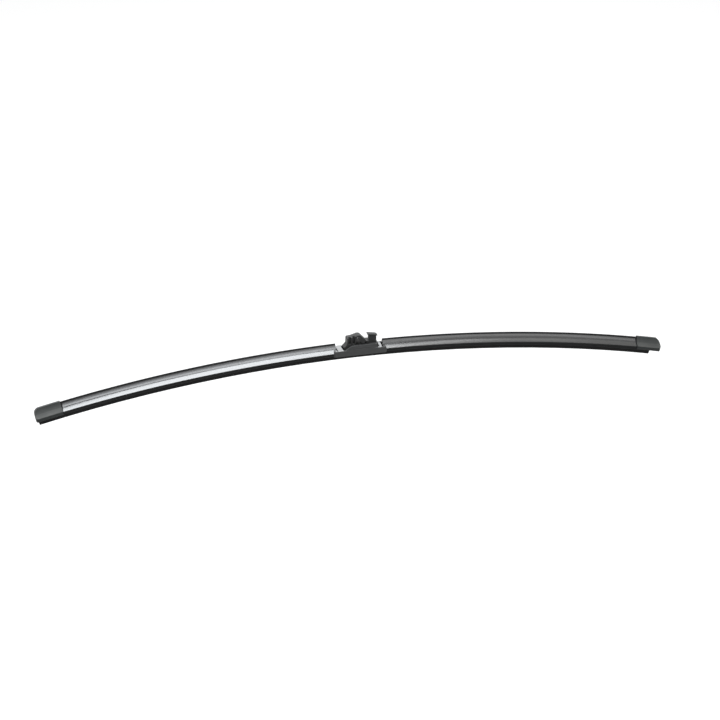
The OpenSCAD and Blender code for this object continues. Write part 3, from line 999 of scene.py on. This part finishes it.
@dataclass
class Studio:
    """Floor, light and camera.

    Args:
        target: point that the camera looks at.
        distance: from the target to the camera.
        round_left_deg: how far round to the left the camera stands.
        above_deg: how far it looks down.
        sensor: width of the camera's sensor, in millimetres.
        lens: focal length for that sensor, in millimetres.
        clip: nearest and furthest distance that the camera sees.
        room: brightness of the room around the set.
        floor_half: half the width of the backdrop.
        bend: radius of the bend between the floor and the wall.
        rocking_room: height from the floor to the blade at rest, so that its tips clear the floor
            when it rocks.
        paper: the backdrop's own colour.
        paper_glow: how much the backdrop is lifted for what looks at it.
        softboxes: the lamps.
    """

    BEND_POINTS = 9

    target: Triple = (0.002503, 0.0, -0.026435)
    distance: float = 2.0688
    round_left_deg: float = 14.818
    above_deg: float = 25.0
    sensor: float = 36.0
    lens: float = 95.765
    clip: Pair = (0.05, 60.0)
    room: float = 0.12
    floor_half: float = 9.0
    bend: float = 1.0
    rocking_room: float = 0.055
    paper: float = 0.25
    paper_glow: float = 0.86
    softboxes: tuple[Softbox, ...] = (
        Softbox("strip_left", (-0.34, -0.09, 1.5), (-0.3, 0.0, 0.0), (1.52, 0.68), 6.0, COOL),
        Softbox("strip_middle", (0.53, -0.1, 1.5), (0.4, 0.0, 0.0), (0.22, 0.7), 2.0),
        Softbox("strip_right", (0.82, -0.1, 1.5), (0.6, 0.0, 0.0), (0.36, 0.7), 0.6),
        Softbox("strip_far_right", (1.4, -0.1, 1.5), (0.9, 0.0, 0.0), (0.8, 0.7), 0.45, WARM),
        Softbox("panel_left_high", (-0.35, -1.14, 1.5), (-0.3, 0.0, 0.0), (1.6, 0.58), 2.9, COOL),
        Softbox("panel_left_low", (-0.35, -1.74, 1.5), (-0.3, 0.0, 0.0), (1.6, 0.6), 1.05, COOL),
        Softbox("panel_right_high", (1.25, -1.05, 1.5), (0.4, 0.0, 0.0), (1.5, 1.1), 0.36),
        Softbox("panel_right_low", (0.82, -2.3, 1.5), (0.4, 0.0, 0.0), (0.64, 1.2), 1.0),
        Softbox("panel_far_right_low", (1.67, -2.0, 1.5), (0.6, 0.0, 0.0), (1.06, 0.6), 1.0),
        Softbox("overhead_back", (0.0, 0.95, 1.45), (0.0, 0.0, 0.0), (2.6, 0.8), 3.2),
        Softbox("softbox_back", (0.5, 2.3, 1.12), (0.0, 0.0, 0.0), (0.6, 0.5), 2.7, COOL),
    )

    def camera(self) -> None:
        """Sets the camera as it was fitted to the photograph."""
        left, up = math.radians(self.round_left_deg), math.radians(self.above_deg)
        level = math.cos(up)
        back = Vector((-math.sin(left) * level, -math.cos(left) * level, math.sin(up)))
        data = bpy.data.cameras.new("camera")
        data.lens, data.sensor_width = self.lens, self.sensor
        data.clip_start, data.clip_end = self.clip
        camera = bpy.data.objects.new("camera", data)
        camera.location = Vector(self.target) + back * self.distance
        camera.rotation_mode = "QUATERNION"
        camera.rotation_quaternion = (-back).to_track_quat("-Z", "Y")
        bpy.context.scene.collection.objects.link(camera)
        bpy.context.scene.camera = camera

    def _seen(self, tree: Tree) -> Socket:
        """A mask that is 1 for what the camera, a reflection or clear glass sees.

        Args:
            tree: the backdrop's tree.

        Returns:
            The socket of the mask.
        """
        rays = add_node(tree, "ShaderNodeLightPath").outputs
        first = calculate(tree, "MAXIMUM", rays["Is Camera Ray"], rays["Is Glossy Ray"])
        return calculate(tree, "MAXIMUM", first, rays["Is Transmission Ray"])

    def world(self) -> None:
        """A dim grey room around the set."""
        world = bpy.data.worlds.new("studio")
        world.use_nodes = True
        tree = world.node_tree
        light = {"Color": (1.0, 1.0, 1.0, 1.0), "Strength": self.room}
        connect(tree, tree.nodes["Background"], light)
        bpy.context.scene.world = world

    def _paper(self) -> bpy.types.Material:
        """The backdrop's material.

        It glows only for what looks at it, straight or in a reflection, so the object still throws
        its shadow on it and gets no light from it but what the paper scatters.

        Returns:
            The material.
        """
        material = bpy.data.materials.new("backdrop_white")
        material.use_nodes = True
        tree = material.node_tree
        tree.nodes.remove(tree.nodes["Principled BSDF"])
        color = {"Color": (self.paper, self.paper, self.paper, 1.0)}
        matt = add_node(tree, "ShaderNodeBsdfDiffuse", color)
        strength = {"Strength": calculate(tree, "MULTIPLY", self._seen(tree), self.paper_glow)}
        glow = add_node(tree, "ShaderNodeEmission", strength)
        shaders = {0: matt.outputs["BSDF"], 1: glow.outputs["Emission"]}
        both = add_node(tree, "ShaderNodeAddShader", shaders)
        connect(tree, tree.nodes["Material Output"], {"Surface": both.outputs["Shader"]})
        return material

    def backdrop(self) -> None:
        """White paper that runs from under the blade, which the arm holds, back to a tall wall."""
        low, half, bend = CAD_BOX[0].z - self.rocking_room, self.floor_half, self.bend
        turn = np.radians(np.linspace(0.0, 90.0, self.BEND_POINTS))
        bend_y = half - bend + bend * np.sin(turn)
        bend_z = low + bend - bend * np.cos(turn)
        side_y = np.concatenate([[-half], bend_y, [half]])
        side_z = np.concatenate([[low], bend_z, [low + half]])
        count = len(side_y)
        sides = [np.stack([np.full(count, x), side_y, side_z], axis=1) for x in (-half, half)]
        k = np.arange(count - 1)
        quads = np.stack([k, k + count, k + count + 1, k + 1], axis=1)
        paper = make_mesh("backdrop", np.concatenate(sides), list(map(tuple, quads.tolist())))
        paper.data.materials.append(self._paper())

    def hang(self, box: Softbox) -> None:
        """Hangs a softbox, its face turned to what it is aimed at.

        Args:
            box: the softbox.
        """
        data = bpy.data.lights.new(box.name, "AREA")
        data.shape = "RECTANGLE"
        data.size, data.size_y = box.size
        data.energy = box.radiance * math.pi * box.size[0] * box.size[1]
        data.color = box.tint
        lamp = bpy.data.objects.new(box.name, data)
        lamp.location = box.place
        way = Vector(box.aim) - Vector(box.place)
        lamp.rotation_mode = "QUATERNION"
        lamp.rotation_quaternion = way.to_track_quat("-Z", "Y")
        bpy.context.scene.collection.objects.link(lamp)

    def build(self) -> None:
        """Sets up the whole studio."""
        self.camera()
        self.world()
        self.backdrop()
        for box in self.softboxes:
            self.hang(box)
        LOG.info("studio ready with %d softboxes", len(self.softboxes))


def main() -> None:
    """Builds every part of the scene in order."""
    logging.basicConfig(level=logging.INFO, format="%(name)s: %(message)s")
    bpy.context.scene.view_settings.view_transform = "Standard"
    arch = Arch()
    workshop = Workshop(arch)
    Studio().build()
    Spoiler(arch).build(workshop)
    Blade().build(workshop)


if __name__ == "__main__":
    main()
